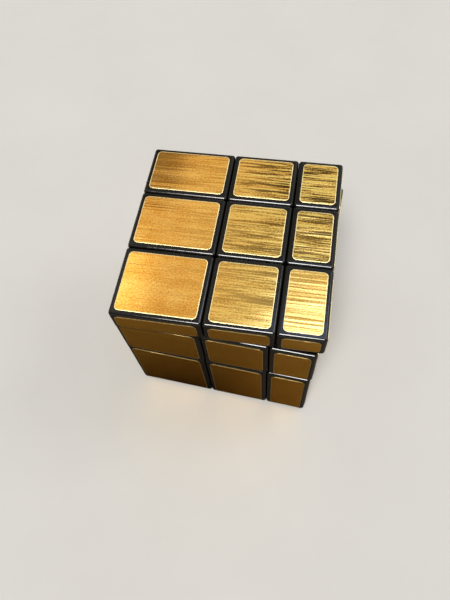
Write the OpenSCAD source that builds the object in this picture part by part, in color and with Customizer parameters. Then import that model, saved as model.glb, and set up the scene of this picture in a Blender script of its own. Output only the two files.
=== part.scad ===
// Mirror block puzzle cube: a three by three by three turning puzzle with layers of nine
// different thicknesses. X runs from the left layer to the right one, Y from the front to
// the back, and Z up. The origin lies under the turning axis, on the face it stands on.

/* [Layers] */
// Thickness of the three middle layers
middle_layer = 19; // [18.8:0.1:19.2]
// Thickness of the left layer
left_layer = 25; // [24:0.5:26]
// Thickness of the right layer
right_layer = 13; // [12.5:0.5:14]
// Thickness of the front layer
front_layer = 21; // [20:0.5:22]
// Thickness of the back layer
back_layer = 17; // [16.5:0.5:18]
// Thickness of the bottom layer
bottom_layer = 29; // [28:0.5:30]
// Thickness of the top layer
top_layer = 9; // [9:0.5:10]

/* [Stored pose] */
// Turn of the top layer, counter-clockwise from above, in degrees
top_turn = 3; // [0:0.5:5]
// Turn of the bottom layer, counter-clockwise from above, in degrees
bottom_turn = -0.8; // [-1.2:0.2:0]

/* [Blocks] */
// Gap between two neighbouring blocks
gap = 0.2; // [0.18:0.02:0.24]
// Radius of the blocks' rounded edges
edge_r = 0.9; // [0.7:0.1:1.1]
// Wall of the hollow blocks
wall = 1.3; // [1.2:0.05:1.4]
// Thickness of the cap that closes a centre block
cap_t = 1.35; // [1.25:0.05:1.4]

/* [Stickers] */
// Thickness of the metallised stickers
sticker_t = 0.15; // [0.1:0.05:0.2]
// Distance of a sticker from the edges of its face
sticker_inset = 1.5; // [1.3:0.1:1.8]
// Corner radius of a sticker
sticker_r = 1.2; // [0.8:0.1:1.5]

/* [Turning mechanism] */
// Half width of the necks between the feet and the blocks
neck = 6.6; // [6.5:0.1:6.7]
// Half width of the tongues next to the core
tongue = 4.2; // [4.15:0.05:4.3]
// Radius of the ball that the tongues lie in
tongue_ball_r = 13.8; // [13.7:0.1:13.9]
// Radius of the ball that holds the feet in place
foot_ball_r = 17.15; // [17.05:0.05:17.2]
// Radius of the hollow around the core
core_hollow_r = 8.5; // [8.4:0.1:8.6]
// Radius at which a corner block parts from its foot
corner_foot_r = 20.5; // [20.4:0.1:20.6]
// Radius of the peg that joins a foot to its block
peg_r = 1.6; // [1.5:0.05:1.65]
// Length of the peg beyond the foot
peg_l = 3.6; // [3.4:0.1:3.7]

/* [Core and screws] */
// Radius of the core's ball
core_r = 6; // [5.8:0.1:6.2]
// Radius of the core's six arms
arm_r = 3; // [2.9:0.05:3]
// Length of an arm from the middle of the core
arm_l = 8; // [7.8:0.1:8]
// Radius of a screw's shank
shank_r = 1.2; // [1.1:0.05:1.2]
// Radius of a screw's head
screw_head_r = 2.6; // [2.4:0.1:2.6]
// Height of a screw's head
screw_head_t = 1.8; // [1.6:0.1:1.8]
// Thickness of a washer
washer_t = 0.5; // [0.4:0.05:0.5]
// Height of a spring as fitted
spring_h = 3.75; // [3.7:0.05:3.8]
// Diameter of the spring wire
spring_wire = 0.5; // [0.45:0.05:0.55]
// Turns of a spring
spring_turns = 4; // [3:0.5:4]

/* [Hidden] */
$fn = 48;
slack = 0.05; // small clearance between pieces fixed to each other
overlap = 1; // how far the parts of one solid run into each other
reach = 60; // longer than any block
half = middle_layer / 2; // distance of every cut plane from the core
side = gap / 2; // what each of two neighbours gives to the gap
core_z = bottom_layer + half; // height of the core above the face it stands on
// Lowest and highest value of the cube along X, Y and Z, measured from the core
faces = [
    [-half - left_layer, half + right_layer],
    [-half - front_layer, half + back_layer],
    [-half - bottom_layer, half + top_layer]
];
axis_words = [["left", "", "right"], ["front", "", "back"], ["bottom", "", "top"]];
centre_floor = 1.5; // wall under a centre's spring
centre_low = arm_l + side; // inner end of a centre block
spring_low = centre_low + centre_floor;
washer_low = spring_low + spring_h;
head_low = washer_low + washer_t;
well_r = 3.1; // radius of a centre's spring well
well_top = 17; // height at which a centre block becomes a plain tube
screw_hole_r = 1.5; // a centre's clearance hole for its screw
tap_depth = 2.5; // distance of a screw bore's end from the middle of the core
screw_tip = 3; // distance of a screw's end from the middle of the core
washer_rim = 0.2; // how far a washer reaches past its screw's head
washer_play = 0.1; // clearance between a washer and its screw
spring_r = 2.4; // radius of the spring's helix
spring_play = 0.02; // how much thinner the wire is than its nominal size
wire_sides = 8; // sides of the wire's rings
rings_per_turn = 14; // rings in one turn of the wire
plug_l = 2; // depth of a cap's plug
plug_wall = 1.2; // wall of a hollow plug
slot_w = 0.6; // width of the cross in a screw's head
slot_l = 3.2; // length of its two slots
slot_depth = 0.9; // and their depth

axes = [0, 1, 2];
signs = [-1, 1];
corners = [for (x = signs, y = signs, z = signs) [x, y, z]];
edges = [
    for (x = [-1, 0, 1], y = [-1, 0, 1], z = [-1, 0, 1])
        if (abs(x) + abs(y) + abs(z) == 2) [x, y, z]
];
centres = [for (a = axes, s = signs) [for (b = axes) a == b ? s : 0]];
levels = [1, 0, -1];

function word(c, a) = axis_words[a][c[a] + 1];
function level_word(s) = s == 0 ? "middle" : axis_words[2][s + 1];
function tail(c, a) = word(c, a) == "" ? "" : str("_", word(c, a));
// The name of a block, such as top_front_left
function place(c) =
    let (name = str(tail(c, 2), tail(c, 1), tail(c, 0)))
    chr([for (i = [1 : len(name) - 1]) ord(name[i])]);

// Plastic of the block at signs c along axis a: its lower and its upper face
function block_low(c, a) =
    c[a] < 0 ? faces[a][0] + sticker_t : (c[a] == 0 ? -half : half) + side;
function block_high(c, a) =
    c[a] > 0 ? faces[a][1] - sticker_t : (c[a] == 0 ? half : -half) - side;
function block_low_point(c) = [for (a = axes) block_low(c, a)];
function block_high_point(c) = [for (a = axes) block_high(c, a)];
// Turns the Z axis into axis a, or into its opposite for s = -1
function aim(a, s) = a == 2 ? [s < 0 ? 180 : 0, 0, 0] : a == 1 ? [-90 * s, 0, 0] : [0, 90 * s, 0];

// Puts a layer's pieces in place: at the core's height, turned with the top or bottom layer
module in_layer(s) {
    translate([0, 0, core_z])
        rotate([0, 0, s > 0 ? top_turn : s < 0 ? bottom_turn : 0])
            children();
}

module along(a, s) {
    rotate(aim(a, s)) children();
}

module rounded_rectangle(low, high, r) {
    translate([low[0] + r, low[1]]) square([high[0] - low[0] - 2 * r, high[1] - low[1]]);
    translate([low[0], low[1] + r]) square([high[0] - low[0], high[1] - low[1] - 2 * r]);
    for (x = [low[0] + r, high[0] - r], y = [low[1] + r, high[1] - r])
        translate([x, y]) circle(r);
}

// A box from low to high with its edges parallel to Z rounded
module upright_prism(low, high, r) {
    translate([0, 0, low[2]])
        linear_extrude(high[2] - low[2])
            rounded_rectangle([low[0], low[1]], [high[0], high[1]], r);
}

// A box from low to high with all twelve edges rounded
module rounded_box(low, high, r) {
    intersection() {
        upright_prism(low, high, r);
        rotate([90, 0, 90])
            upright_prism([low[1], low[2], low[0]], [high[1], high[2], high[0]], r);
        rotate([-90, -90, 0])
            upright_prism([low[2], low[0], low[1]], [high[2], high[0], high[1]], r);
    }
}

// The part of a ball that lies d or further out on the sides where c is not 0, and within
// half_w of the middle on the axes where it is
module ball_part(c, d, half_w, r) {
    low = [for (a = axes) c[a] == 0 ? -half_w : c[a] > 0 ? d : -reach];
    high = [for (a = axes) c[a] == 0 ? half_w : c[a] > 0 ? reach : -d];
    intersection() {
        sphere(r);
        translate(low) cube(high - low);
    }
}

// Round bar along the diagonal of block c, from one distance to another
module diagonal_bar(c, r, from, to) {
    steep = acos(c[2] / norm(c));
    rotate([0, steep, atan2(c[1], c[0])]) translate([0, 0, from]) cylinder(r = r, h = to - from);
}

// Hollow block c, with a ball-shaped seat for its foot
module hollow_block(c, seat_r) {
    low = block_low_point(c);
    high = block_high_point(c);
    inset = [wall, wall, wall];
    difference() {
        rounded_box(low, high, edge_r);
        sphere(seat_r);
        difference() {
            translate(low + inset) cube(high - low - 2 * inset);
            sphere(seat_r + wall);
        }
        diagonal_bar(c, peg_r + slack, seat_r - overlap, seat_r + peg_l);
    }
}

// Foot of block c: seat, foot, neck and tongue, with the peg that holds the block
module foot(c, seat_r) {
    difference() {
        union() {
            difference() {
                union() {
                    ball_part(c, half + side, neck - side, seat_r - slack);
                    ball_part(c, neck + side, neck - side, foot_ball_r - side);
                }
                if (c[0] * c[1] * c[2] == 0) sphere(tongue_ball_r + side);
            }
            ball_part(c, neck + side, tongue - side, tongue_ball_r + overlap);
            ball_part(c, tongue + side, tongue - side, tongue_ball_r - side);
        }
        sphere(core_hollow_r);
    }
    diagonal_bar(c, peg_r, seat_r - overlap, seat_r + peg_l - slack);
}

function centre_axis(c) = c[0] != 0 ? 0 : c[1] != 0 ? 1 : 2;
function centre_side(c) = c[centre_axis(c)];
// Distance of a centre block's outer plastic face from the core
function block_far(c) =
    let (a = centre_axis(c)) (c[a] > 0 ? faces[a][1] : -faces[a][0]) - sticker_t;

module core() {
    color("#e8e6df") translate([0, 0, core_z])
        difference() {
            union() {
                sphere(core_r);
                for (c = centres)
                    along(centre_axis(c), centre_side(c)) cylinder(r = arm_r, h = arm_l);
            }
            for (c = centres)
                along(centre_axis(c), centre_side(c)) translate([0, 0, tap_depth])
                    cylinder(r = shank_r + slack, h = arm_l);
        }
}

module face_screw() {
    translate([0, 0, screw_tip]) cylinder(r = shank_r, h = head_low - screw_tip + slack);
    difference() {
        translate([0, 0, head_low]) cylinder(r = screw_head_r, h = screw_head_t);
        for (turn = [0, 90])
            rotate([0, 0, turn])
                translate([-slot_l / 2, -slot_w / 2, head_low + screw_head_t - slot_depth])
                    cube([slot_l, slot_w, slot_depth + slack]);
    }
}

module face_screws() {
    color("#b8bcc0") translate([0, 0, core_z])
        for (c = centres) along(centre_axis(c), centre_side(c)) face_screw();
}

module screw_washers() {
    color("#c9ccd0") translate([0, 0, core_z])
        for (c = centres)
            along(centre_axis(c), centre_side(c)) translate([0, 0, washer_low])
                difference() {
                    cylinder(r = screw_head_r + washer_rim, h = washer_t);
                    translate([0, 0, -slack])
                        cylinder(r = shank_r + washer_play, h = washer_t + 2 * slack);
                }
}

// Round wire wound along Z, swept as a closed tube of many-sided rings
module coil(r, wire, h, turns) {
    sides = wire_sides;
    steps = rings_per_turn * turns;
    pitch = h / turns;
    slope = atan(pitch / (2 * PI * r));
    rings = [
        for (i = [0 : steps], k = [0 : sides - 1])
            let (
                turn = 360 * turns * i / steps,
                spoke = 360 * k / sides,
                out = wire / 2 * cos(spoke),
                up = wire / 2 * sin(spoke)
            )
            [
                (r + out) * cos(turn) + up * sin(slope) * sin(turn),
                (r + out) * sin(turn) - up * sin(slope) * cos(turn),
                h * i / steps + up * cos(slope)
            ]
    ];
    skin = [
        for (i = [0 : steps - 1], k = [0 : sides - 1])
            let (next = (k + 1) % sides)
            [i * sides + k, (i + 1) * sides + k, (i + 1) * sides + next, i * sides + next]
    ];
    first = [for (k = [0 : sides - 1]) k];
    last = [for (k = [sides - 1 : -1 : 0]) steps * sides + k];
    polyhedron(rings, concat(skin, [first, last]));
}

module centre_spring(c) {
    color("#a7abb0") translate([0, 0, core_z])
        along(centre_axis(c), centre_side(c)) translate([0, 0, spring_low + spring_wire / 2])
            coil(spring_r, spring_wire - spring_play, spring_h - spring_wire, spring_turns);
}

// Square bar along Z with rounded edges, half_w to each side
module square_bar(half_w, low, high) {
    translate([0, 0, low]) linear_extrude(high - low)
        rounded_rectangle([-half_w, -half_w], [half_w, half_w], edge_r);
}

// Centre block below its cap: a square tube on a stepped neck, with the spring well inside
module centre_base(c) {
    top = block_far(c) - cap_t;
    inner = half - side - wall;
    color("#16161a") in_layer(c[2]) along(centre_axis(c), centre_side(c))
        difference() {
            union() {
                difference() {
                    square_bar(half - side, centre_low, top);
                    sphere(foot_ball_r + side);
                }
                difference() {
                    square_bar(neck - side, centre_low, well_top);
                    sphere(tongue_ball_r + side);
                }
                square_bar(tongue - side, centre_low, well_top);
            }
            translate([0, 0, centre_low - slack]) cylinder(r = screw_hole_r, h = reach);
            translate([0, 0, spring_low]) cylinder(r = well_r, h = reach);
            if (top > well_top + plug_l)
                translate([-inner, -inner, well_top]) cube([2 * inner, 2 * inner, reach]);
        }
}

// Cap of a centre block, with a plug that fits into its base
module centre_cap(c) {
    high = block_far(c);
    low = high - cap_t;
    w = half - side;
    inner = w - wall - slack;
    color("#16161a") in_layer(c[2]) along(centre_axis(c), centre_side(c)) {
        intersection() {
            rounded_box([-w, -w, low - cap_t], [w, w, high], edge_r);
            translate([-w, -w, low]) cube([2 * w, 2 * w, cap_t]);
        }
        if (low > well_top + plug_l)
            translate([0, 0, low - plug_l]) difference() {
                translate([-inner, -inner, 0]) cube([2 * inner, 2 * inner, plug_l + slack]);
                translate([plug_wall - inner, plug_wall - inner, -slack])
                    cube([2 * (inner - plug_wall), 2 * (inner - plug_wall), plug_l + slack]);
            }
        else
            translate([0, 0, low - plug_l / 2]) cylinder(r = well_r - slack, h = plug_l / 2 + slack);
    }
}

module corner_block(c) {
    color("#16161a") in_layer(c[2]) hollow_block(c, corner_foot_r + slack);
}

module edge_block(c) {
    color("#16161a") in_layer(c[2]) hollow_block(c, foot_ball_r + side);
}

module corner_feet(s) {
    color("#1d1d22") in_layer(s)
        for (c = corners) if (c[2] == s) foot(c, corner_foot_r + slack);
}

module edge_feet(s) {
    color("#1d1d22") in_layer(s)
        for (c = edges) if (c[2] == s) foot(c, foot_ball_r + side);
}

// Sticker on the face of block c that looks along axis a
module sticker(c, a) {
    u = a == 0 ? 1 : 0;
    v = a == 2 ? 1 : 2;
    low = [sticker_low(c, u), sticker_low(c, v)];
    high = [sticker_high(c, u), sticker_high(c, v)];
    out = c[a] > 0 ? faces[a][1] - sticker_t : faces[a][0];
    if (a == 0)
        translate([out, 0, 0]) rotate([90, 0, 90]) linear_extrude(sticker_t)
            rounded_rectangle(low, high, sticker_r);
    else if (a == 1)
        translate([0, out + sticker_t, 0]) rotate([90, 0, 0]) linear_extrude(sticker_t)
            rounded_rectangle(low, high, sticker_r);
    else
        translate([0, 0, out]) linear_extrude(sticker_t)
            rounded_rectangle(low, high, sticker_r);
}

function sticker_low(c, a) =
    (c[a] < 0 ? faces[a][0] : c[a] == 0 ? -half : half) + sticker_inset;
function sticker_high(c, a) =
    (c[a] > 0 ? faces[a][1] : c[a] == 0 ? half : -half) - sticker_inset;

// The eight stickers around the centre one, on the top for s = 1 or the bottom for s = -1
module face_stickers(s) {
    color("#b98a2e") in_layer(s)
        for (c = concat(corners, edges)) if (c[2] == s) sticker(c, 2);
}

// The stickers on the four sides of one level, without the centre ones
module side_stickers(s) {
    color("#b98a2e") in_layer(s)
        for (c = concat(corners, edges), a = [0, 1])
            if (c[2] == s && c[a] != 0) sticker(c, a);
}

module centre_sticker(c) {
    color("#b98a2e") in_layer(c[2]) sticker(c, centre_axis(c));
}

core();
face_screws();
screw_washers();
corner_feet(1);  // corner_feet_top
corner_feet(-1);  // corner_feet_bottom
face_stickers(1);  // top_stickers
face_stickers(-1);  // bottom_stickers
for (s = levels) {
    edge_feet(s);
    side_stickers(s);
}
for (c = centres) {
    centre_spring(c);
    centre_base(c);
    centre_cap(c);
    centre_sticker(c);
}
for (c = corners)
    corner_block(c);
for (c = edges)
    edge_block(c);
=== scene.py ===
"""Mirror block puzzle cube: the looks of its blocks, stickers and inner pieces."""

import math

import bmesh
import bpy
from mathutils import Matrix, Vector, noise


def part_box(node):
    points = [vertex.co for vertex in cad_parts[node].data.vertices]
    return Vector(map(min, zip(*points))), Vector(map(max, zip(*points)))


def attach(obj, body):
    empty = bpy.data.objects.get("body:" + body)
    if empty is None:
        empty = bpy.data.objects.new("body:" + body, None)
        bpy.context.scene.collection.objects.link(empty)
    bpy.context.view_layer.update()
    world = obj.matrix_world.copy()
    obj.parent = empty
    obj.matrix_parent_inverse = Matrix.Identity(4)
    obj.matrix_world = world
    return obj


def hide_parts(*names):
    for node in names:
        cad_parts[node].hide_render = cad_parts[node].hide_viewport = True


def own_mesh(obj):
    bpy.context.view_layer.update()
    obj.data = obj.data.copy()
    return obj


MM = 0.001
SIGNS = (-1, 0, 1)
WORDS = (("left", "", "right"), ("front", "", "back"), ("bottom", "", "top"))
ROOT = "core_and_middle_layer"

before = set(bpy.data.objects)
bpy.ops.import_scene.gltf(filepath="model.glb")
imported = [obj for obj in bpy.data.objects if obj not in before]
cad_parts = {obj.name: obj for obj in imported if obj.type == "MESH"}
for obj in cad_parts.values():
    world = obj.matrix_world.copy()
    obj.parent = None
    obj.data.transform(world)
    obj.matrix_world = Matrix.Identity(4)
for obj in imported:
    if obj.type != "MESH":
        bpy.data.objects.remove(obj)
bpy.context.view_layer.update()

# Turn of the top and bottom layers in the stored pose, in degrees
LAYER_TURN = {1: 3.0, 0: 0.0, -1: -0.8}

# Blocks: rounding of the edges, what each grows towards its neighbours in the same layer, half
# of a middle layer, ball-shaped seats round the core, and thickness of the centres' caps
EDGE_R = 0.9 * MM
SNUG = 0.08 * MM
HALF_CELL = 9.5 * MM
CORNER_SEAT_R = 20.55 * MM
EDGE_SEAT_R = 17.3 * MM
CAP_T = 1.35 * MM

# Stickers: thickness, distance from the edges of their cell, corner radius, width of the rim,
# and points between two corners of the outline
STICKER_T = 0.15 * MM
STICKER_INSET = 1.5 * MM
STICKER_R = 1.25 * MM
RIM_W = 0.2 * MM
SIDE_POINTS = 10

# Springs: radius of the coil, thickness of the wire, its ends above the core, and turns
SPRING_R = 2.4 * MM
SPRING_WIRE = 0.48 * MM
SPRING_LOW, SPRING_HIGH = 9.65 * MM, 13.4 * MM
SPRING_TURNS = 4


# ---------------------------------------------------------------- places


def place(c):
    """The name of the block at signs c, such as top_front_left."""
    return "_".join(w for w in (WORDS[a][c[a] + 1] for a in (2, 1, 0)) if w)


def centre_axis(c):
    return [a for a in range(3) if c[a]][0]


def layer_body(c):
    return {1: "top_layer", 0: ROOT, -1: "bottom_layer"}[c[2]]


def block_body(c):
    return f"{place(c)}_centre" if sum(map(abs, c)) == 1 else layer_body(c)


def core_height():
    low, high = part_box("edge_block_front_left")
    return (low.z + high.z) / 2


CORE = Vector((0, 0, core_height()))


def cell_limits():
    """Lowest and highest plastic of each layer along X, Y and Z, measured from the core.

    The cuts beside a middle layer are as far from the core on Z as on X, so Z takes X's.
    """
    low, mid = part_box("edge_block_front_left")
    far_low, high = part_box("edge_block_back_right")
    cap_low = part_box("centre_cap_bottom")[0].z - CORE.z
    cap_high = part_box("centre_cap_top")[1].z - CORE.z
    half = mid.z - CORE.z
    cut = far_low.x
    return (
        ((low.x, mid.x), (-half, half), (cut, high.x)),
        ((low.y, mid.y), (-half, half), (far_low.y, high.y)),
        ((cap_low, mid.x), (-half, half), (cut, cap_high)),
    )


LIMITS = cell_limits()


def block_box(c):
    """Limits of a block; beside its neighbours in the same layer it leaves only a hairline."""
    low = Vector([LIMITS[a][c[a] + 1][0] for a in range(3)])
    high = Vector([LIMITS[a][c[a] + 1][1] for a in range(3)])
    for a in (0, 1):
        low[a] -= SNUG if c[a] >= 0 else 0
        high[a] += SNUG if c[a] <= 0 else 0
    return low, high


def sticker_span(c, a):
    """Where a sticker starts and ends along axis a, on the cell of its block."""
    low, high = LIMITS[a][c[a] + 1]
    cell_low = low - STICKER_T if c[a] < 0 else c[a] * HALF_CELL if c[a] else -HALF_CELL
    cell_high = high + STICKER_T if c[a] > 0 else c[a] * HALF_CELL if c[a] else HALF_CELL
    return cell_low + STICKER_INSET, cell_high - STICKER_INSET


def layer_matrix(s):
    """Puts what is built round the core in its place in the stored pose."""
    return Matrix.Translation(CORE) @ Matrix.Rotation(math.radians(LAYER_TURN[s]), 4, "Z")


BLOCKS = [(x, y, z) for z in SIGNS for y in SIGNS for x in SIGNS if (x, y, z) != (0, 0, 0)]
CENTRES = [c for c in BLOCKS if sum(map(abs, c)) == 1]


# ---------------------------------------------------------------- node helpers


class Nodes:
    """Small helper that builds the node tree of a material or of the world."""

    def __init__(self, owner):
        owner.use_nodes = True
        self.material = owner
        self.tree = owner.node_tree
        self.shader = self.tree.nodes.get("Principled BSDF")

    def new(self, kind, **values):
        node = self.tree.nodes.new(kind)
        for key, value in values.items():
            setattr(node, key, value)
        return node

    def link(self, source, target):
        self.tree.links.new(source, target)

    def set(self, **values):
        for key, value in values.items():
            self.shader.inputs[key.replace("_", " ")].default_value = value

    def math(self, operation, a, b):
        node = self.new("ShaderNodeMath", operation=operation)
        for socket, value in zip(node.inputs, (a, b)):
            if isinstance(value, (int, float)):
                socket.default_value = value
            else:
                self.link(value, socket)
        return node.outputs[0]

    def noise(self, vector, scale, detail=2.0, rough=0.5):
        node = self.new("ShaderNodeTexNoise")
        node.inputs["Scale"].default_value = scale
        node.inputs["Detail"].default_value = detail
        node.inputs["Roughness"].default_value = rough
        self.link(vector, node.inputs["Vector"])
        return node.outputs["Fac"]

    def stretch(self, vector, scale, offset=(0, 0, 0)):
        node = self.new("ShaderNodeMapping")
        node.inputs["Scale"].default_value = scale
        node.inputs["Location"].default_value = offset
        self.link(vector, node.inputs["Vector"])
        return node.outputs[0]

    def ramp(self, value, stops):
        node = self.new("ShaderNodeValToRGB")
        ramp = node.color_ramp
        while len(ramp.elements) < len(stops):
            ramp.elements.new(0.5)
        for element, (position, colour) in zip(ramp.elements, stops):
            element.position = position
            element.color = colour if len(colour) == 4 else (*colour, 1)
        self.link(value, node.inputs["Fac"])
        return node.outputs["Color"]

    def grey_ramp(self, value, stops):
        return self.ramp(value, [(p, (v, v, v)) for p, v in stops])

    def bump(self, height, distance):
        node = self.new("ShaderNodeBump")
        node.inputs["Distance"].default_value = distance
        node.inputs["Strength"].default_value = 1.0
        self.link(height, node.inputs["Height"])
        return node.outputs["Normal"]

    def soft_step(self, value, low, high, at_low, at_high):
        node = self.new("ShaderNodeMapRange", interpolation_type="SMOOTHSTEP")
        self.link(value, node.inputs["Value"])
        limits = {"From Min": low, "From Max": high, "To Min": at_low, "To Max": at_high}
        for key, number in limits.items():
            node.inputs[key].default_value = number
        return node.outputs["Result"]

    def soft_band(self, value, low, high, soft):
        rise = self.soft_step(value, low - soft, low + soft, 0.0, 1.0)
        fall = self.soft_step(value, high - soft, high + soft, 1.0, 0.0)
        return self.math("MULTIPLY", rise, fall)

    def scaled(self, colour, factor):
        node = self.new("ShaderNodeVectorMath", operation="SCALE")
        if isinstance(colour, tuple):
            node.inputs[0].default_value = colour
        else:
            self.link(colour, node.inputs[0])
        self.link(factor, node.inputs["Scale"])
        return node.outputs[0]

    def mix(self, factor, first, second):
        node = self.new("ShaderNodeMix", data_type="RGBA")
        self.link(factor, node.inputs["Factor"])
        for socket, colour in zip(node.inputs[6:8], (first, second)):
            if isinstance(colour, tuple):
                socket.default_value = colour
            else:
                self.link(colour, socket)
        return node.outputs[2]

    def sum(self, a, b):
        node = self.new("ShaderNodeVectorMath", operation="ADD")
        self.link(a, node.inputs[0])
        self.link(b, node.inputs[1])
        return node.outputs[0]

    def object_mm(self):
        """Object coordinates in millimetres."""
        coordinates = self.new("ShaderNodeTexCoord")
        return self.stretch(coordinates.outputs["Object"], (1 / MM,) * 3)


# ---------------------------------------------------------------- materials


def gold_film():
    """Metallised film: brush lines along the sticker's first direction, over a fine grain.

    Each vertex says where it is on the sheet (brush); how deep the brush relief is and, in the
    same number, how strong the painted reflection streaks are; and how far the film leans to
    yellow as a painted highlight tint.
    """
    n = Nodes(bpy.data.materials.new("gold_film"))
    mm = n.new("ShaderNodeAttribute", attribute_name="brush").outputs["Vector"]
    depth = n.new("ShaderNodeAttribute", attribute_name="depth").outputs["Fac"]
    depth = n.math("MINIMUM", n.math("MAXIMUM", depth, 0.05), 1.0)
    lines = n.noise(n.stretch(mm, (0.012, 1.05, 1.0)), 1.0, 1.3, 0.6)
    waves = n.noise(n.stretch(mm, (0.010, 0.26, 1.0), (3, 17, 5)), 1.0, 0.0, 0.5)
    grain = n.noise(n.stretch(mm, (2.6, 3.0, 1.0), (31, 7, 3)), 1.0, 2.0, 0.6)
    speckle = n.noise(n.stretch(mm, (2.0, 2.3, 1.0), (8, 41, 6)), 1.0, 2.0, 0.8)
    blotches = n.noise(n.stretch(mm, (0.13, 0.16, 1.0), (15, 6, 2)), 1.0, 2.0, 0.6)
    height = n.math("ADD", n.math("MULTIPLY", waves, 1.3), lines)
    height = n.math("MULTIPLY", height, n.math("ADD", n.math("MULTIPLY", depth, 0.85), 0.15))
    height = n.math("ADD", height, n.math("MULTIPLY", grain, 0.03))
    height = n.math("ADD", height, n.math("MULTIPLY", speckle, 0.04))
    n.link(n.bump(height, 0.13 * MM), n.shader.inputs["Normal"])
    tone = n.math("ADD", n.math("MULTIPLY", blotches, 0.3), n.math("MULTIPLY", speckle, 0.7))
    orange = n.ramp(tone, [
        (0.39, (0.74, 0.35, 0.055)), (0.5, (0.92, 0.485, 0.095)), (0.60, (1.0, 0.66, 0.20)),
    ])
    # Painted highlight tint: the film takes the yellow ramp where its reflections are meant to be
    # brighter
    yellow = n.ramp(tone, [
        (0.38, (0.74, 0.44, 0.10)), (0.5, (0.93, 0.58, 0.15)), (0.62, (1.0, 0.68, 0.20)),
    ])
    painted_highlight_yellow = n.new("ShaderNodeAttribute", attribute_name="painted_highlight_yellow").outputs["Fac"]
    gold = n.mix(painted_highlight_yellow, orange, yellow)
    # Painted reflections: darker and brighter streaks in the base colour stand in for the light and
    # shade the film reflects, as strong as the vertex attribute asks
    fine = n.noise(n.stretch(mm, (0.06, 1.75, 1.0), (5, 2, 9)), 1.0, 2.0, 0.75)
    broad = n.noise(n.stretch(mm, (0.03, 0.34, 1.0), (2, 11, 4)), 1.0, 1.0, 0.5)
    painted_streak_mask = n.math("ADD", n.math("MULTIPLY", fine, 0.60), n.math("MULTIPLY", broad, 0.22))
    painted_streak_mask = n.math("ADD", painted_streak_mask, n.math("MULTIPLY", speckle, 0.18))
    painted_dark_reflection = n.grey_ramp(painted_streak_mask, [(0.435, 1.0), (0.468, 0.85), (0.492, 0.25), (0.508, 0.0)])
    painted_highlight = n.grey_ramp(painted_streak_mask, [(0.51, 0.0), (0.56, 1.0)])
    gold = n.mix(n.math("MULTIPLY", painted_highlight, depth), gold, (1.0, 0.82, 0.26, 1))
    gold = n.mix(n.math("MULTIPLY", painted_dark_reflection, depth), gold, (0.035, 0.020, 0.005, 1))
    n.link(gold, n.shader.inputs["Base Color"])
    n.link(n.grey_ramp(grain, [(0.3, 0.06), (0.7, 0.10)]), n.shader.inputs["Roughness"])
    n.set(Metallic=1.0, Specular_Tint=(1.0, 0.74, 0.42, 1.0))
    return n.material


def sticker_rim():
    """Cut edge of the film: pale, and on the front painted darker as shade."""
    n = Nodes(bpy.data.materials.new("sticker_rim"))
    mm = n.object_mm()
    wear = n.noise(mm, 1.7, 3.0, 0.6)
    depth = n.new("ShaderNodeAttribute", attribute_name="depth").outputs["Fac"]
    painted_shade_rim = n.ramp(wear, [(0.3, (0.20, 0.135, 0.045)), (0.62, (0.33, 0.235, 0.095))])
    pale = n.ramp(wear, [(0.3, (0.56, 0.45, 0.21)), (0.62, (0.78, 0.70, 0.42))])
    # Painted shade: the front's rims, where the strength attribute is nought, take the darker
    # colour; the rest take the pale one
    n.link(n.mix(n.soft_step(depth, 0.0, 0.06, 0.0, 1.0), painted_shade_rim, pale), n.shader.inputs["Base Color"])
    n.link(n.grey_ramp(wear, [(0.3, 0.50), (0.7, 0.60)]), n.shader.inputs["Roughness"])
    n.set(Metallic=1.0)
    return n.material


def black_plastic(name="black_plastic", shade=0.001):
    """Glossy moulded plastic with faint waviness, fine scratches and a little dust."""
    n = Nodes(bpy.data.materials.new(name))
    mm = n.object_mm()
    waves = n.noise(mm, 0.35, 2.0, 0.5)
    grain = n.noise(mm, 9.0, 3.0, 0.6)
    scratches = n.noise(n.stretch(mm, (0.4, 9.0, 3.0)), 1.0, 4.0, 0.7)
    height = n.math("ADD", waves, n.math("MULTIPLY", grain, 0.03))
    height = n.math("ADD", height, n.math("MULTIPLY", scratches, 0.03))
    n.link(n.bump(height, 0.05 * MM), n.shader.inputs["Normal"])
    dust = n.grey_ramp(n.noise(mm, 1.3, 3.0, 0.75), [(0.78, 0.0), (0.81, 1.0)])
    tint = n.ramp(dust, [(0.0, (shade, shade, shade * 1.05)), (1.0, (0.22, 0.21, 0.19))])
    n.link(tint, n.shader.inputs["Base Color"])
    n.link(n.grey_ramp(grain, [(0.3, 0.07), (0.7, 0.13)]), n.shader.inputs["Roughness"])
    n.set(IOR=1.37)
    return n.material


def pale_plastic():
    """Matt white plastic of the core."""
    n = Nodes(bpy.data.materials.new("core_plastic"))
    mm = n.object_mm()
    grain = n.noise(mm, 9.0, 3.0, 0.6)
    n.link(n.ramp(grain, [(0.3, (0.62, 0.61, 0.56)), (0.7, (0.74, 0.73, 0.68))]),
           n.shader.inputs["Base Color"])
    n.link(n.grey_ramp(grain, [(0.3, 0.32), (0.7, 0.46)]), n.shader.inputs["Roughness"])
    n.link(n.bump(grain, 0.01 * MM), n.shader.inputs["Normal"])
    return n.material


def steel(name, tone, rough):
    """Bright steel with a fine drawn grain."""
    n = Nodes(bpy.data.materials.new(name))
    mm = n.object_mm()
    grain = n.noise(n.stretch(mm, (1, 1, 6)), 4.0, 4.0, 0.6)
    n.link(n.ramp(grain, [(0.3, (tone * 0.85,) * 3), (0.7, (tone, tone, tone * 1.03))]),
           n.shader.inputs["Base Color"])
    n.link(n.grey_ramp(grain, [(0.3, rough), (0.7, rough + 0.12)]), n.shader.inputs["Roughness"])
    n.link(n.bump(grain, 0.01 * MM), n.shader.inputs["Normal"])
    n.set(Metallic=1.0)
    return n.material


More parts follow.
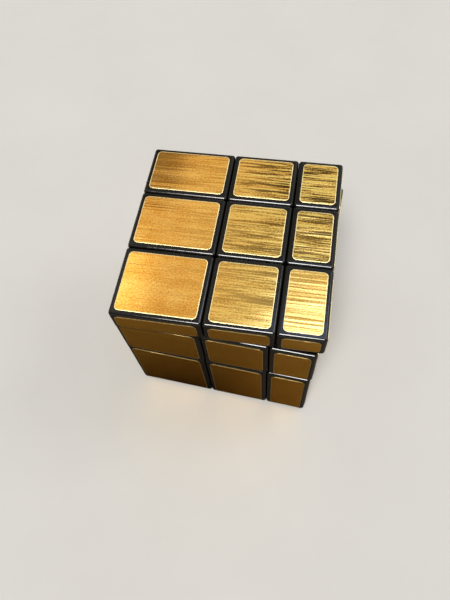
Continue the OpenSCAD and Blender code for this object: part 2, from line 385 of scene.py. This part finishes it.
MATERIALS = {
    "gold": gold_film(),
    "rim": sticker_rim(),
    "block": black_plastic(),
    "foot": black_plastic("foot_plastic", 0.02),
    "core": pale_plastic(),
    "screw": steel("screw_steel", 0.62, 0.25),
    "spring": steel("spring_steel", 0.55, 0.2),
}


# ---------------------------------------------------------------- mesh helpers


def add_object(name, mesh, *materials):
    for key in materials:
        mesh.materials.append(MATERIALS[key])
    thing = bpy.data.objects.new(name, mesh)
    bpy.context.scene.collection.objects.link(thing)
    return thing


def mesh_from(bm, name):
    mesh = bpy.data.meshes.new(name)
    bm.to_mesh(mesh)
    bm.free()
    return mesh


def shade(thing, sharp_angle=40, flat_slot=None):
    """Smooth shading that keeps broad faces flat; faces of one material slot can stay flat."""
    thing.data.shade_smooth()
    thing.data.set_sharp_from_angle(angle=math.radians(sharp_angle))
    for face in thing.data.polygons:
        if face.material_index == flat_slot:
            face.use_smooth = False
    modifier = thing.modifiers.new("flat_faces", "WEIGHTED_NORMAL")
    modifier.keep_sharp = True
    modifier.weight = 90


def rounded_block(low, high, radius, segments=5):
    """A box with all its edges and corners rounded."""
    bm = bmesh.new()
    size = high - low
    matrix = Matrix.Translation((low + high) / 2) @ Matrix.Diagonal((*size, 1))
    bmesh.ops.create_cube(bm, size=1.0, matrix=matrix)
    bmesh.ops.bevel(bm, geom=bm.edges[:], offset=radius, segments=segments, profile=0.5,
                    affect="EDGES", clamp_overlap=True)
    return bm


def ball(radius):
    bm = bmesh.new()
    bmesh.ops.create_uvsphere(bm, u_segments=64, v_segments=32, radius=radius)
    return bm


def cut(target, cutter):
    """Takes the cutter away from the target and leaves a plain mesh."""
    modifier = target.modifiers.new("seat", "BOOLEAN")
    modifier.object = cutter
    modifier.operation = "DIFFERENCE"
    modifier.solver = "EXACT"
    graph = bpy.context.evaluated_depsgraph_get()
    mesh = bpy.data.meshes.new_from_object(target.evaluated_get(graph))
    target.modifiers.clear()
    target.data = mesh
    return target


# ---------------------------------------------------------------- blocks


def make_block(c):
    """Corner or edge block: rounded all round, with the ball-shaped seat of its foot."""
    corner = 0 not in c
    low, high = block_box(c)
    kind = "corner_block_" if corner else "edge_block_"
    bm = rounded_block(low, high, EDGE_R)
    block = add_object(f"{place(c)}_block", mesh_from(bm, place(c)), "block")
    seat = add_object("seat_cutter", mesh_from(ball(CORNER_SEAT_R if corner else EDGE_SEAT_R), "s"))
    cut(block, seat)
    bpy.data.objects.remove(seat)
    block.data.transform(layer_matrix(c[2]))
    shade(block)
    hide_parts(kind + place(c))
    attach(block, layer_body(c))


def make_cap(c):
    """Cap of a centre block, with a fine seam above its base."""
    axis = centre_axis(c)
    low, high = block_box(c)
    if c[axis] > 0:
        low[axis] = high[axis] - CAP_T
    else:
        high[axis] = low[axis] + CAP_T
    bm = bmesh.new()
    matrix = Matrix.Translation((low + high) / 2) @ Matrix.Diagonal((*(high - low), 1))
    bmesh.ops.create_cube(bm, size=1.0, matrix=matrix)
    inner = min(abs(low[axis]), abs(high[axis]))
    outer_edges = [
        edge for edge in bm.edges
        if not all(math.isclose(abs(v.co[axis]), inner, abs_tol=1e-6) for v in edge.verts)
    ]
    bmesh.ops.bevel(bm, geom=outer_edges, offset=EDGE_R, segments=5, profile=0.5, affect="EDGES")
    cap = add_object(f"{place(c)}_cap", mesh_from(bm, place(c) + "_cap"), "block")
    cap.data.transform(layer_matrix(c[2]))
    shade(cap)
    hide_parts("centre_cap_" + place(c))
    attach(cap, block_body(c))


# ---------------------------------------------------------------- stickers


def outline(width, height, radius, inset, wobble, seed, steps=7):
    """Rounded rectangle about the origin, a little uneven like a die-cut edge."""
    r = radius - inset
    w, h = width / 2 - inset - r, height / 2 - inset - r
    corners = [Vector((w, -h)), Vector((w, h)), Vector((-w, h)), Vector((-w, -h))]
    points = []
    for k, corner in enumerate(corners):
        start = 90 * k - 90
        for i in range(steps + 1):
            a = math.radians(start + 90 * i / steps)
            points.append(corner + Vector((math.cos(a), math.sin(a))) * r)
        a = math.radians(start + 90)
        following = corners[(k + 1) % 4] + Vector((math.cos(a), math.sin(a))) * r
        here = points[-1]
        for i in range(1, SIDE_POINTS):
            points.append(here.lerp(following, i / SIDE_POINTS))
    uneven = []
    for p in points:
        n = noise.noise(Vector((p.x / MM * 1.1 + seed, p.y / MM * 1.1, seed * 0.37 + inset / MM)))
        uneven.append(p - p.normalized() * (wobble * n))
    return uneven


# How deep the brush lines are, and how strong their painted reflections and the painted shade of
# the rims, at the left and right ends of each sticker of the top, by row from the front to the back
# and by column from left to right, and on the front and the other sides
TOP_RELIEF_AND_PAINT = (
    ((0.05, 0.15), (0.34, 0.58), (0.34, 0.26)),
    ((0.08, 0.25), (0.50, 0.80), (0.84, 0.84)),
    ((0.10, 0.32), (0.58, 1.0), (0.96, 0.96)),
)
FRONT_RELIEF_AND_PAINT, SIDE_RELIEF_AND_PAINT = 0.0, 0.14

# Streak strength at which the top's painted highlight tint starts to turn the film from orange to
# yellow, over how much more strength it does, and how yellow the tint paints the other sides
PAINTED_YELLOW_FROM, PAINTED_YELLOW_OVER = 0.05, 0.45
SIDE_PAINTED_YELLOW = 0.8

# How far apart on their sheet the films are cut, in millimetres
SHEET_STEP = (40, 13)


def film_look(c, out, along):
    """Relief and painted reflection strength, and painted highlight tint, at a point of a sticker.
    """
    if out.z > 0:
        left, right = TOP_RELIEF_AND_PAINT[c[1] + 1][c[0] + 1]
        depth = left + (right - left) * (along + 0.5)
        t = min(max((depth - PAINTED_YELLOW_FROM) / PAINTED_YELLOW_OVER, 0.0), 1.0)
        return depth, t * t * (3 - 2 * t)
    return FRONT_RELIEF_AND_PAINT if out.y < 0 else SIDE_RELIEF_AND_PAINT, SIDE_PAINTED_YELLOW


def make_sticker(c, axis, seed):
    """Film plate on a block face: gold top with painted reflection streaks, cut rim all round,
    painted darker as shade on the front.
    """
    low, high = block_box(c)
    u, v = [a for a in range(3) if a != axis]
    spans = [sticker_span(c, a) for a in range(3)]
    mid = Vector([sum(span) / 2 for span in spans])
    mid[axis] = high[axis] if c[axis] > 0 else low[axis]
    width = spans[u][1] - spans[u][0]
    height = spans[v][1] - spans[v][0]
    across = Vector([1 if a == u else 0 for a in range(3)])
    up = Vector([1 if a == v else 0 for a in range(3)])
    out = Vector([c[axis] if a == axis else 0 for a in range(3)])
    rings = (
        (0.0, 0.0, 0.02),
        (0.0, STICKER_T * 0.8, 0.02),
        (RIM_W * 0.2, STICKER_T, 0.04),
        (RIM_W, STICKER_T, 0.07),
    )
    bm = bmesh.new()
    brush = bm.verts.layers.float_vector.new("brush")
    depth = bm.verts.layers.float.new("depth")
    painted_highlight_yellow = bm.verts.layers.float.new("painted_highlight_yellow")
    loops = []
    for inset, lift, wobble in rings:
        loop = []
        for p in outline(width, height, STICKER_R, inset, wobble * MM, seed):
            vert = bm.verts.new(mid + across * p.x + up * p.y + out * lift)
            vert[brush] = (p.x / MM + SHEET_STEP[0] * seed, p.y / MM + SHEET_STEP[1] * seed, seed)
            vert[depth], vert[painted_highlight_yellow] = film_look(c, out, p.x / width)
            loop.append(vert)
        loops.append(loop)
    count = len(loops[0])
    for k in range(len(loops) - 1):
        for i in range(count):
            j = (i + 1) % count
            face = bm.faces.new((loops[k][i], loops[k][j], loops[k + 1][j], loops[k + 1][i]))
            face.material_index = 1
    top = bm.faces.new(loops[-1])
    top.material_index = 0
    base = bm.faces.new(list(reversed(loops[0])))
    base.material_index = 1
    bmesh.ops.recalc_face_normals(bm, faces=bm.faces[:])
    side = WORDS[axis][c[axis] + 1]
    name = f"sticker_{side}_of_{place(c)}"
    sticker = add_object(name, mesh_from(bm, name), "gold", "rim")
    sticker.data.transform(layer_matrix(c[2]))
    shade(sticker, 50, flat_slot=0)
    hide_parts(sticker_node(c, axis))
    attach(sticker, block_body(c))


def sticker_node(c, axis):
    if sum(map(abs, c)) == 1:
        return "centre_sticker_" + place(c)
    if axis == 2:
        return WORDS[2][c[2] + 1] + "_stickers"
    return "side_stickers_" + ("bottom", "middle", "top")[c[2] + 1]


# ---------------------------------------------------------------- inner pieces


def aim(c):
    """Turns Z into the direction of centre c, about the core."""
    turn = Vector((0, 0, 1)).rotation_difference(Vector(c)).to_matrix().to_4x4()
    return Matrix.Translation(CORE) @ turn


def swept_spring(radius, wire, low, high, turns):
    """Round wire wound between two heights, with closed end coils."""
    bm = bmesh.new()
    sides, per_turn = 10, 28
    count = int(turns * per_turn)
    rings = []
    for i in range(count + 1):
        t = i / count
        ease = t * t * (3 - 2 * t)
        z = low + wire / 2 + (high - low - wire) * (0.35 * ease + 0.65 * t)
        a = 2 * math.pi * turns * t
        spoke = Vector((math.cos(a), math.sin(a), 0))
        centre = spoke * radius + Vector((0, 0, z))
        ring = []
        for k in range(sides):
            b = 2 * math.pi * k / sides
            rise = Vector((0, 0, wire / 2 * math.sin(b)))
            ring.append(bm.verts.new(centre + spoke * (wire / 2 * math.cos(b)) + rise))
        rings.append(ring)
    for first, second in zip(rings, rings[1:]):
        for k in range(sides):
            j = (k + 1) % sides
            bm.faces.new((first[k], first[j], second[j], second[k]))
    bm.faces.new(rings[0])
    bm.faces.new(list(reversed(rings[-1])))
    bmesh.ops.recalc_face_normals(bm, faces=bm.faces[:])
    return bm


def make_spring(c):
    """Spring round the screw of one centre block, wound in one fixed shape."""
    bm = swept_spring(SPRING_R, SPRING_WIRE, SPRING_LOW, SPRING_HIGH, SPRING_TURNS)
    name = f"{place(c)}_spring"
    spring = add_object(name, mesh_from(bm, name), "spring")
    spring.data.transform(aim(c))
    shade(spring, 60)
    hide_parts("spring_" + place(c))
    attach(spring, ROOT)
    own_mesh(spring)


# ---------------------------------------------------------------- assembly

seed = 0
for c in BLOCKS:
    if c in CENTRES:
        make_cap(c)
        make_spring(c)
    else:
        make_block(c)
    for axis in range(3):
        if c[axis]:
            seed += 1
            make_sticker(c, axis, seed)

# CAD nodes that nothing replaces are seen as they are, and only get a material
for node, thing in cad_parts.items():
    if thing.hide_render:
        continue
    key = "block"
    if "feet" in node:
        key = "foot"
    elif node == "core":
        key = "core"
    elif node in ("face_screws", "screw_washers"):
        key = "screw"
    thing.data.materials.clear()
    thing.data.materials.append(MATERIALS[key])


# ---------------------------------------------------------------- stage

# Floor: half its side, then in millimetres the middle and the reach of the painted shadow that
# mirror rays see, and from where to where along Y that fades from the front's colours to the others
FLOOR_HALF = 3.0
PAINTED_SHADOW_MIDDLE, PAINTED_SHADOW_REACH = (-20, 0, 0), 300
FRONT_END, FRONT_GONE = -32, 10


def make_floor():
    """Plain pale floor. Mirror rays see a painted shadow on it, darkest in front of the cube."""
    bm = bmesh.new()
    bmesh.ops.create_grid(bm, x_segments=1, y_segments=1, size=FLOOR_HALF)
    floor = add_object("floor", mesh_from(bm, "floor"))
    n = Nodes(bpy.data.materials.new("floor"))
    mm = n.object_mm()
    mottling = n.noise(mm, 0.02, 4.0, 0.6)
    pale = n.ramp(mottling, [(0.35, (0.274, 0.269, 0.259)), (0.65, (0.284, 0.279, 0.269))])
    away = n.new("ShaderNodeVectorMath", operation="DISTANCE")
    n.link(mm, away.inputs[0])
    away.inputs[1].default_value = PAINTED_SHADOW_MIDDLE
    reach = n.math("DIVIDE", away.outputs["Value"], PAINTED_SHADOW_REACH)
    # Painted shadow for mirror rays: darkest next to the cube's front, lighter and then brighter
    # than the floor farther out; beside and behind the cube a milder painted shade
    painted_shadow_in_front = n.ramp(reach, [
        (0.105, (0.012, 0.0099, 0.0085)), (0.15, (0.040, 0.033, 0.026)),
        (0.21, (0.058, 0.0475, 0.037)), (0.34, (0.155, 0.133, 0.105)),
        (0.60, (0.32, 0.29, 0.25)), (1.0, (0.40, 0.375, 0.335)),
    ])
    painted_shade_around = n.ramp(reach, [
        (0.10, (0.10, 0.092, 0.080)), (0.22, (0.18, 0.168, 0.148)),
        (0.60, (0.32, 0.29, 0.25)), (1.0, (0.40, 0.375, 0.335)),
    ])
    split = n.new("ShaderNodeSeparateXYZ")
    n.link(mm, split.inputs[0])
    behind = n.soft_step(split.outputs["Y"], FRONT_END, FRONT_GONE, 0.0, 1.0)
    painted_floor_reflection = n.mix(behind, painted_shadow_in_front, painted_shade_around)
    # Only mirror rays see the painted shadow; the camera sees the even pale floor
    glossy = n.new("ShaderNodeLightPath").outputs["Is Glossy Ray"]
    n.link(n.mix(glossy, pale, painted_floor_reflection), n.shader.inputs["Base Color"])
    n.set(Roughness=0.8, Specular_IOR_Level=0.0)
    floor.data.materials.append(n.material)


# Soft panels of the studio, as seen on a ceiling one metre up: left, right, near and far limits,
# softness of the edges from left to right and from near to far, how much light they add (or,
# below nought, take away), and its colour
PANELS = (
    (-0.21, 0.12, -0.78, -0.34, 0.10, 0.02, 60.0, (1.0, 0.99, 0.97)),
    (-0.05, 0.50, 0.27, 0.47, 0.07, 0.09, 2.5, (0.95, 1.22, 2.0)),
    (-0.95, -0.36, 0.10, 0.57, 0.04, 0.03, 0.70, (0.95, 1.05, 0.85)),
    (-0.20, 0.60, 0.61, 0.65, 0.10, 0.01, -0.20, (1.0, 1.0, 1.0)),
    (-0.20, 0.60, 0.725, 0.80, 0.10, 0.01, -0.30, (1.0, 1.0, 1.0)),
    (0.06, 1.20, 0.52, 1.50, 0.10, 0.04, 0.26, (1.0, 1.04, 0.95)),
    (-0.95, -0.36, 0.75, 1.50, 0.025, 0.03, -0.55, (1.0, 0.9, 0.75)),
    (0.64, 1.40, 0.30, 0.80, 0.06, 0.08, 7.0, (1.0, 0.98, 1.0)),
    (-0.30, 0.20, 0.78, 1.50, 0.05, 0.03, -0.15, (0.0, 0.55, 1.0)),
)

# Colours of the base light on the left and on the right, least light from any direction, and the
# plain backdrop that the camera sees
LEFT_TINT, RIGHT_TINT = (1.20, 1.03, 0.82, 1), (1.18, 1.18, 1.08, 1)
LEAST_LIGHT = (0.015, 0.015, 0.015)
BACKDROP = (0.67, 0.657, 0.622, 1)


def make_world():
    """Soft studio: a base light by height, dimmer low in front, with the panels added."""
    world = bpy.data.worlds.new("studio")
    bpy.context.scene.world = world
    n = Nodes(world)
    direction = n.new("ShaderNodeTexCoord").outputs["Generated"]
    split = n.new("ShaderNodeSeparateXYZ")
    n.link(direction, split.inputs[0])
    x, y, z = split.outputs
    height = n.math("MAXIMUM", z, 0.08)
    across, ahead = n.math("DIVIDE", x, height), n.math("DIVIDE", y, height)
    stops = [(0.0, 0.75), (0.25, 0.60), (0.48, 0.48), (0.58, 0.70), (1.0, 0.72)]
    base = n.grey_ramp(z, stops)
    warmth = n.mix(n.soft_step(across, -0.35, 0.02, 0.0, 1.0), LEFT_TINT, RIGHT_TINT)
    tint = n.new("ShaderNodeVectorMath", operation="MULTIPLY")
    n.link(base, tint.inputs[0])
    n.link(warmth, tint.inputs[1])
    low_front = n.math("MULTIPLY", n.soft_step(y, -0.45, -0.2, 1.0, 0.0),
                       n.soft_step(z, 0.45, 0.75, 0.35, 0.2))
    total = n.scaled(tint.outputs[0], n.math("SUBTRACT", 1.0, low_front))
    for left, right, near, far, soft_x, soft_y, strength, colour in PANELS:
        mask = n.math("MULTIPLY", n.soft_band(across, left, right, soft_x),
                      n.soft_band(ahead, near, far, soft_y))
        mask = n.math("MULTIPLY", mask, n.soft_step(z, 0.1, 0.3, 0.0, 1.0))
        total = n.sum(total, n.scaled(colour, n.math("MULTIPLY", mask, strength)))
    lit = n.new("ShaderNodeVectorMath", operation="MAXIMUM")
    n.link(total, lit.inputs[0])
    lit.inputs[1].default_value = LEAST_LIGHT
    seen = n.new("ShaderNodeLightPath").outputs["Is Camera Ray"]
    n.link(n.mix(seen, lit.outputs[0], BACKDROP), n.tree.nodes["Background"].inputs["Color"])
    bpy.context.scene.view_settings.view_transform = "Standard"


CAMERA_AT = Vector((17.31, -81.34, 177.45)) * MM
CAMERA_AIM = Vector((-13.23, 5.13, 0.0)) * MM
CAMERA_ROLL = -7.77
CAMERA_LENS = 31.6


def make_camera():
    """Camera at the photo's viewing angle."""
    data = bpy.data.cameras.new("camera")
    data.lens = CAMERA_LENS
    data.clip_start = 0.005
    camera = bpy.data.objects.new("camera", data)
    bpy.context.scene.collection.objects.link(camera)
    look = (CAMERA_AIM - CAMERA_AT).to_track_quat("-Z", "Y").to_matrix()
    roll = Matrix.Rotation(math.radians(CAMERA_ROLL), 3, "Z")
    camera.matrix_world = Matrix.Translation(CAMERA_AT) @ (look @ roll).to_4x4()
    bpy.context.scene.camera = camera


make_floor()
make_world()
make_camera()
